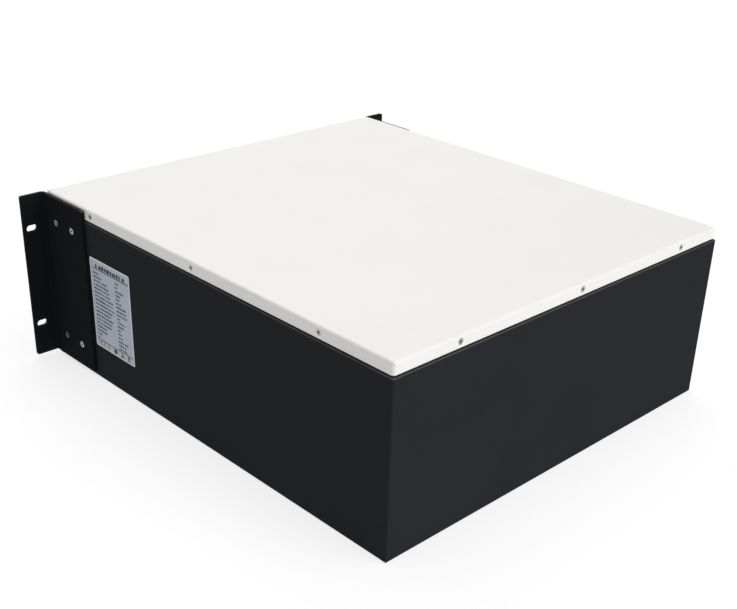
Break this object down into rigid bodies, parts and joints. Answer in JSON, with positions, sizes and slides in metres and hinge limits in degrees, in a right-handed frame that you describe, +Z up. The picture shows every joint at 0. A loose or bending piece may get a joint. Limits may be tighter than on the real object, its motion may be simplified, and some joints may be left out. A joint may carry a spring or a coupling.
{
  "type": "rack-mount lithium battery pack",
  "caption": "Four-unit rack battery pack: black sheet-steel case, white screwed top cover, bent rack ears, and a front panel with terminals, breaker, sockets, buttons and handles.",
  "frame": {"origin": "middle of the whole footprint, on the plane that the case stands on", "axes": "+Z up; the front panel faces -Y and the plain rear wall +Y; +X is to the right seen from the front, on the side with the rating label"},
  "size_m": [0.4826, 0.52, 0.1758],
  "materials": {
    "case_black": "fine-textured satin powder coat",
    "cover_white": "fine-textured satin powder coat",
    "zinc_steel": "zinc plated",
    "label_film": "printed film",
    "handle_black": "satin",
    "black_insulator": "moulded",
    "red_insulator": "moulded",
    "brass": "machined",
    "breaker_plastic": "moulded",
    "lever_blue": "moulded",
    "stainless": "brushed",
    "button_red": "moulded",
    "white_plastic": "moulded",
    "black_plastic": "moulded",
    "gilt_contact": "gold plated",
    "lens_clear": "clear moulded",
    "green_plastic": "moulded",
    "board_green": "solder mask",
    "board_blue": "solder mask",
    "cell_blue": "aluminium can in blue film",
    "fibre_board": "glass-fibre sheet",
    "bare_aluminium": "milled",
    "copper": "bare copper",
    "cable_red": "silicone jacket",
    "cable_black": "silicone jacket",
    "loom_grey": "braided sleeve"
  },
  "bodies": {
    "case": {"chassis": "case_black", "front_panel": "case_black", "top_cover": "cover_white", "ear_left": "case_black", "ear_right": "case_black", "ear_screws": "zinc_steel", "clinch_nuts": "zinc_steel", "cover_screws": "zinc_steel", "panel_screws": "zinc_steel", "rating_label": "label_film", "handle_left": "handle_black", "handle_right": "handle_black", "handle_screws": "zinc_steel", "negative_terminal_base": "black_insulator", "positive_terminal_base": "red_insulator", "terminal_studs": "brass", "terminal_nuts": "zinc_steel", "breaker_body": "breaker_plastic", "breaker_bracket": "zinc_steel", "power_button_body": "stainless", "power_button_nut": "zinc_steel", "dip_switch_body": "button_red", "network_jack_1": "black_plastic", "network_jack_2": "black_plastic", "network_jack_3": "black_plastic", "network_jack_4": "black_plastic", "jack_shields": "stainless", "jack_contacts": "gilt_contact", "light_pipes": "lens_clear", "relay_terminal_block": "green_plastic", "earth_stud": "zinc_steel", "interface_board": "board_green", "board_standoffs": "brass", "front_cell_row": "cell_blue", "rear_cell_row": "cell_blue", "cell_spacers": "fibre_board", "end_plates": "bare_aluminium", "compression_bands": "stainless", "busbars": "copper", "busbar_nuts": "zinc_steel", "base_insulation": "fibre_board", "top_insulation": "fibre_board", "floor_rail": "zinc_steel", "floor_studs": "zinc_steel", "bms_board": "board_blue", "bms_switches": "black_plastic", "bms_heatsink": "bare_aluminium", "positive_cable": "cable_red", "negative_cable": "cable_black", "output_cables": "cable_black", "signal_harness": "loom_grey"},
    "breaker_lever": {"breaker_lever": "lever_blue"},
    "reset_button": {"reset_button": "button_red"},
    "dip_slider_1": {"dip_slider_1": "white_plastic"},
    "dip_slider_2": {"dip_slider_2": "white_plastic"},
    "dip_slider_3": {"dip_slider_3": "white_plastic"},
    "dip_slider_4": {"dip_slider_4": "white_plastic"},
    "negative_terminal_cover": {"negative_terminal_cover": "black_insulator"},
    "positive_terminal_cover": {"positive_terminal_cover": "red_insulator"},
    "power_button_cap": {"power_button_cap": "stainless"}
  },
  "joints": [
    {"name": "breaker_switch", "type": "hinge", "parent": "case", "child": "breaker_lever", "pos_m": [-0.1275, -0.222, 0.108], "axis": [-1, 0, 0], "range_deg": [0, 80]},
    {"name": "power_button_press", "type": "slide", "parent": "case", "child": "power_button_cap", "axis": [0, 1, 0], "range_m": [0, 0.0025], "stiffness_N_per_m": 500, "springref_m": -0.003},
    {"name": "reset_press", "type": "slide", "parent": "case", "child": "reset_button", "axis": [0, 1, 0], "range_m": [0, 0.001], "stiffness_N_per_m": 500, "springref_m": -0.002},
    {"name": "negative_cover_swing", "type": "hinge", "parent": "case", "child": "negative_terminal_cover", "pos_m": [-0.15, -0.2285, 0.0605], "axis": [-1, 0, 0], "range_deg": [0, 100]},
    {"name": "positive_cover_swing", "type": "hinge", "parent": "case", "child": "positive_terminal_cover", "pos_m": [-0.105, -0.2285, 0.0605], "axis": [-1, 0, 0], "range_deg": [0, 100]},
    {"name": "dip_slide_1", "type": "slide", "parent": "case", "child": "dip_slider_1", "axis": [0, 0, 1], "range_m": [0, 0.0018]},
    {"name": "dip_slide_2", "type": "slide", "parent": "case", "child": "dip_slider_2", "axis": [0, 0, 1], "range_m": [0, 0.0018]},
    {"name": "dip_slide_3", "type": "slide", "parent": "case", "child": "dip_slider_3", "axis": [0, 0, 1], "range_m": [0, 0.0018]},
    {"name": "dip_slide_4", "type": "slide", "parent": "case", "child": "dip_slider_4", "axis": [0, 0, 1], "range_m": [0, 0.0018]}
  ]
}
